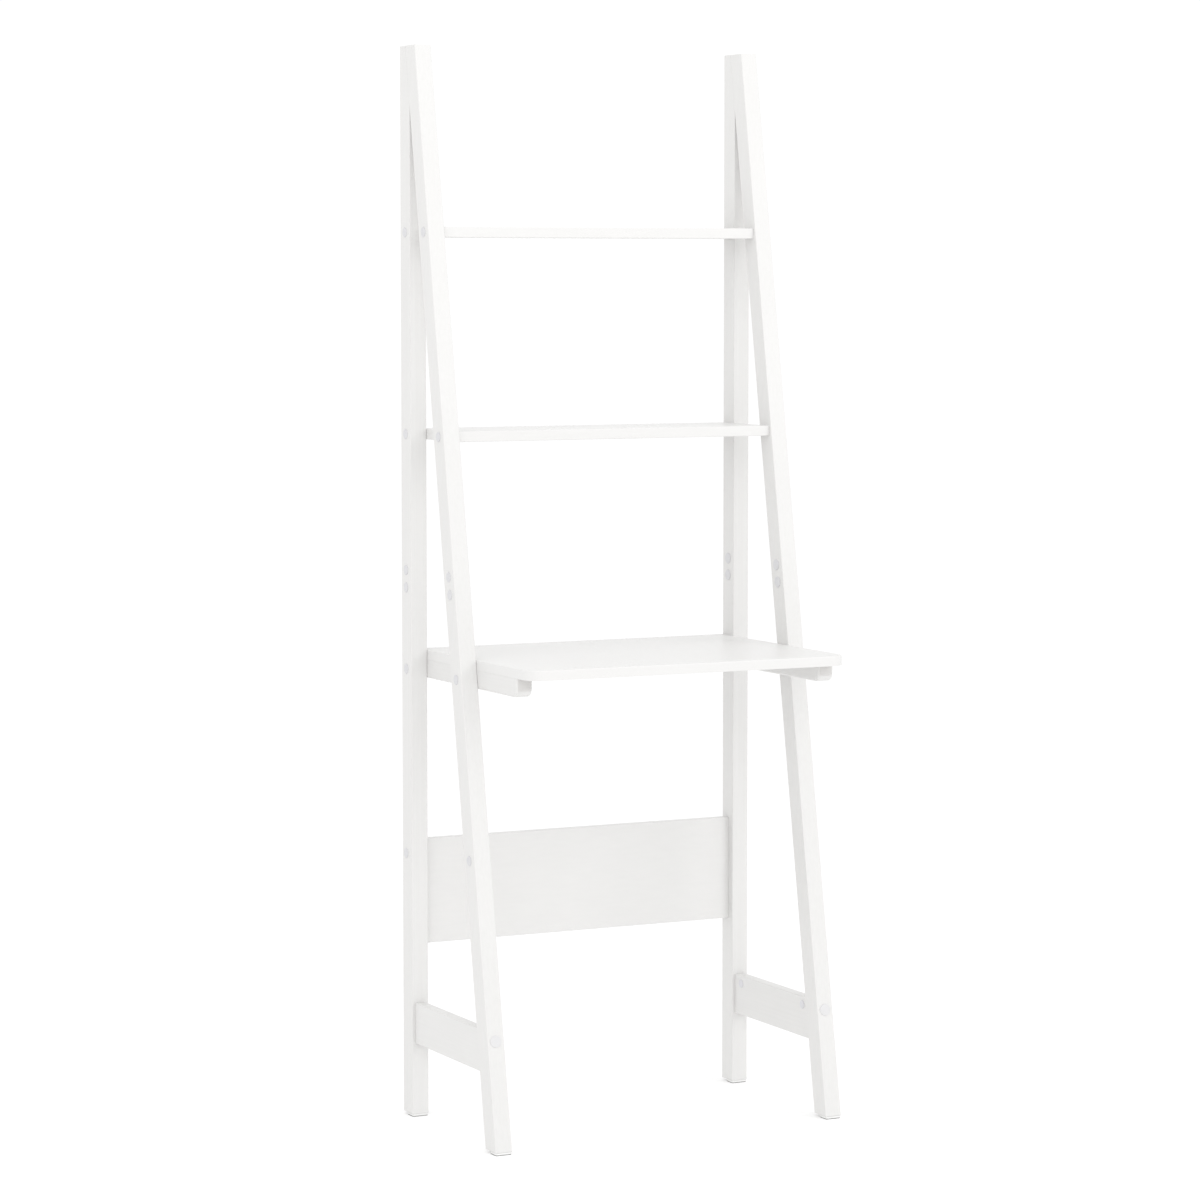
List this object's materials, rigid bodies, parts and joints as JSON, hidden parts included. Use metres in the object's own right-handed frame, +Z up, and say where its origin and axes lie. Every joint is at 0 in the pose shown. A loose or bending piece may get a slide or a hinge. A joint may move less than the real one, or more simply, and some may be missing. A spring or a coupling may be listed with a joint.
{
  "type": "ladder desk",
  "caption": "Ladder-style desk with A-shaped side frames that carry shallow upper shelves, a deep writing board on side rails and a low back panel.",
  "frame": {"origin": "on the floor, midway between the side frames and midway between the rear faces of the rear posts and the desk board's front edge", "axes": "+Z up, +X to the user's right when they sit at the desk, -Y to the front where the user sits, +Y to the wall"},
  "size_m": [0.6284, 0.425, 1.75],
  "materials": {
    "white_lacquered_wood": "solid wood and board under satin white lacquer",
    "cap_plastic": "smooth moulded plastic, slightly bluer than the lacquer",
    "glide_pad": "pale moulded pad with a darker worn sole",
    "zinc_steel": "bright zinc plate",
    "beech_dowel": "bare beech, fluted dowel drawn plain"
  },
  "bodies": {
    "root": {"apex_dowels": "beech_dowel", "back_panel": "white_lacquered_wood", "back_panel_dowels": "beech_dowel", "back_panel_screw_caps": "cap_plastic", "back_panel_screws": "zinc_steel", "barrel_nut_caps": "cap_plastic", "desk_rail_screw_caps": "cap_plastic", "desk_rail_screws": "zinc_steel", "desk_top": "white_lacquered_wood", "desk_top_screws": "zinc_steel", "front_bolt_caps": "cap_plastic", "left_desk_rail": "white_lacquered_wood", "left_front_glide": "glide_pad", "left_front_post": "white_lacquered_wood", "left_rear_glide": "glide_pad", "left_rear_post": "white_lacquered_wood", "left_stretcher": "white_lacquered_wood", "middle_shelf": "white_lacquered_wood", "middle_shelf_screw_caps": "cap_plastic", "middle_shelf_screws": "zinc_steel", "rear_bolt_caps": "cap_plastic", "right_desk_rail": "white_lacquered_wood", "right_front_glide": "glide_pad", "right_front_post": "white_lacquered_wood", "right_rear_glide": "glide_pad", "right_rear_post": "white_lacquered_wood", "right_stretcher": "white_lacquered_wood", "spare_hole_inner_caps": "cap_plastic", "spare_hole_outer_caps": "cap_plastic", "stretcher_barrel_nuts": "zinc_steel", "stretcher_bolts": "zinc_steel", "stretcher_dowels": "beech_dowel", "top_shelf": "white_lacquered_wood", "top_shelf_screw_caps": "cap_plastic", "top_shelf_screws": "zinc_steel"}
  },
  "joints": []
}
